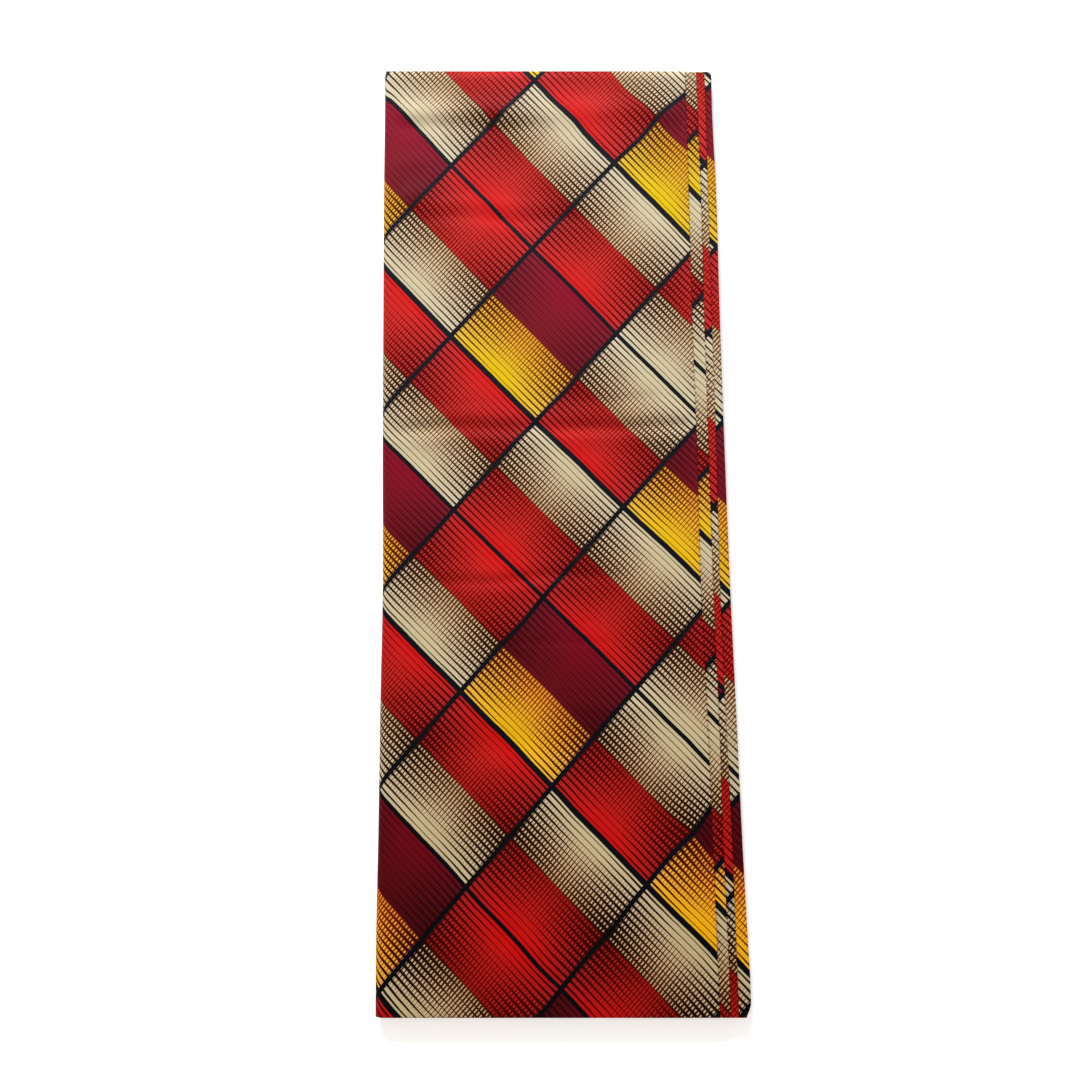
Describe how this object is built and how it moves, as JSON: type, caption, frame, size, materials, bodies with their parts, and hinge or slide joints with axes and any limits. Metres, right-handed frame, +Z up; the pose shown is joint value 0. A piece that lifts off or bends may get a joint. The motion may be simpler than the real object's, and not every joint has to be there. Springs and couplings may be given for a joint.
{
  "type": "folded ankara fabric",
  "caption": "Length of wax-printed cotton folded into a long flat bundle, with a round fold on one side and lap edges that step out on the other.",
  "frame": {"origin": "middle of the underside, on the surface that the bundle lies on", "axes": "+Y along the bundle, towards the picture's top; +X towards the stepped edges; +Z up"},
  "size_m": [0.3416, 0.9144, 0.0172],
  "materials": {
    "printed_cotton": "smooth waxed cotton, red, cream, yellow and maroon print with dark hatching"
  },
  "bodies": {
    "root": {"top_lap": "printed_cotton", "second_lap": "printed_cotton", "third_lap": "printed_cotton", "fourth_lap": "printed_cotton", "inner_laps": "printed_cotton"}
  },
  "joints": []
}
